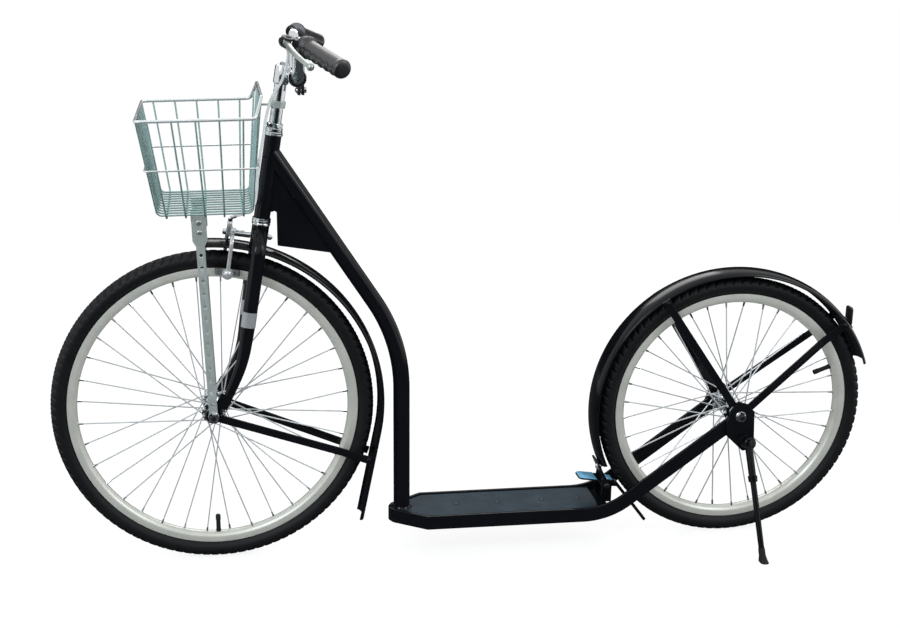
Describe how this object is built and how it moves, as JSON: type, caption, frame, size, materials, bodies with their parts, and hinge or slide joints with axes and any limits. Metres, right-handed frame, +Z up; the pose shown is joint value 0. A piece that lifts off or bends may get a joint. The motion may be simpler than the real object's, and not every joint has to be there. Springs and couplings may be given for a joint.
{
  "type": "kick bike",
  "caption": "Upright kick bike with spoked wheels, the larger one in front, a low footboard, a wire basket, full fenders, hand and foot brakes and a side kickstand.",
  "frame": {"origin": "on the ground plane, under the middle of the bounding box", "axes": "+X from the front wheel towards the rear wheel, +Z up, -Y towards the kickstand, which is the rider's left"},
  "size_m": [1.5812, 0.5522, 1.0101],
  "materials": {
    "black_paint": "glossy black paint",
    "chrome": "polished chrome plate",
    "zinc": "zinc-plated steel",
    "alloy": "satin aluminium",
    "tyre_rubber": "black tyre rubber",
    "rubber": "matt black rubber",
    "vinyl": "soft glossy black vinyl",
    "cable_housing": "light silver-grey plastic housing"
  },
  "bodies": {
    "frame": {"head_tube": "black_paint", "down_tube": "black_paint", "head_gusset": "black_paint", "left_rail": "black_paint", "right_rail": "black_paint", "deck_nose": "black_paint", "deck_plate": "black_paint", "deck_crossmember": "black_paint", "left_dropout": "black_paint", "right_dropout": "black_paint", "rear_fender": "black_paint", "left_rear_fender_fore_stay": "black_paint", "left_rear_fender_aft_stay": "black_paint", "right_rear_fender_fore_stay": "black_paint", "right_rear_fender_aft_stay": "black_paint", "rear_reflector": "black_paint", "headset_lower_cup": "chrome", "headset_upper_cup": "chrome", "rear_axle": "zinc", "rear_axle_left_nut": "chrome", "rear_axle_right_nut": "chrome", "kickstand_pivot_bolt": "zinc", "foot_brake_bracket": "black_paint"},
    "steering": {"fork": "black_paint", "headset_crown_race": "chrome", "headset_locknut": "chrome", "handlebar_stem": "chrome", "stem_bolt": "zinc", "handlebar": "chrome", "left_grip": "vinyl", "right_grip": "vinyl", "lever_bracket": "black_paint", "front_fender": "black_paint", "left_front_fender_stay": "black_paint", "right_front_fender_stay": "black_paint", "front_axle": "zinc", "front_axle_left_nut": "chrome", "front_axle_right_nut": "chrome", "caliper_bolt": "chrome", "front_brake_cable": "cable_housing", "basket": "zinc", "left_basket_strut": "zinc", "right_basket_strut": "zinc", "basket_stem_clip": "zinc"},
    "front_wheel": {"front_tyre": "tyre_rubber", "front_inner_tube": "rubber", "front_rim": "alloy", "front_hub_and_spokes": "chrome"},
    "rear_wheel": {"rear_tyre": "tyre_rubber", "rear_inner_tube": "rubber", "rear_rim": "alloy", "rear_hub_and_spokes": "chrome"},
    "hand_lever": {"brake_lever": "alloy"},
    "left_brake_arm": {"left_caliper_arm": "chrome", "left_brake_pad": "rubber"},
    "right_brake_arm": {"right_caliper_arm": "chrome", "right_brake_pad": "rubber"},
    "kickstand": {"kickstand_leg": "black_paint", "kickstand_foot": "rubber"},
    "foot_brake": {"foot_brake_lever": "zinc"}
  },
  "joints": [
    {"name": "steering_turn", "type": "hinge", "parent": "frame", "child": "steering", "pos_m": [-0.37005, 0, 0.74289], "axis": [0.165, 0, 0.9863], "range_deg": [-40, 40]},
    {"name": "front_wheel_spin", "type": "hinge", "parent": "steering", "child": "front_wheel", "pos_m": [-0.48476, 0, 0.30583], "axis": [0, 1, 0], "continuous": true},
    {"name": "rear_wheel_spin", "type": "hinge", "parent": "frame", "child": "rear_wheel", "pos_m": [0.52524, 0, 0.2615], "axis": [0, 1, 0], "continuous": true},
    {"name": "hand_lever_pull", "type": "hinge", "parent": "steering", "child": "hand_lever", "pos_m": [-0.3359, -0.15123, 0.99833], "axis": [0.236, -0.2299, 0.9442], "range_deg": [0, 10], "stiffness_Nm_per_rad": 0.8, "springref_deg": -8.59},
    {"name": "left_brake_arm_close", "type": "hinge", "parent": "steering", "child": "left_brake_arm", "pos_m": [-0.43735, 0, 0.64364], "axis": [0.9863, 0, -0.165], "range_deg": [0, 1.3]},
    {"name": "right_brake_arm_close", "type": "hinge", "parent": "steering", "child": "right_brake_arm", "pos_m": [-0.44485, 0, 0.64489], "axis": [-0.9863, 0, 0.165], "range_deg": [0, 1.3]},
    {"name": "kickstand_fold", "type": "hinge", "parent": "frame", "child": "kickstand", "pos_m": [0.53624, -0.0628, 0.209], "axis": [0.179, -0.9674, 0.179], "range_deg": [0, 92]},
    {"name": "foot_brake_press", "type": "hinge", "parent": "frame", "child": "foot_brake", "pos_m": [0.27924, 0, 0.1126], "axis": [0, -1, 0], "range_deg": [0, 3.1], "stiffness_Nm_per_rad": 6, "springref_deg": -4.58}
  ],
  "couplings": [
    {"joint": "left_brake_arm_close", "follows": "hand_lever_pull", "ratio": 0.13},
    {"joint": "right_brake_arm_close", "follows": "hand_lever_pull", "ratio": 0.13}
  ]
}
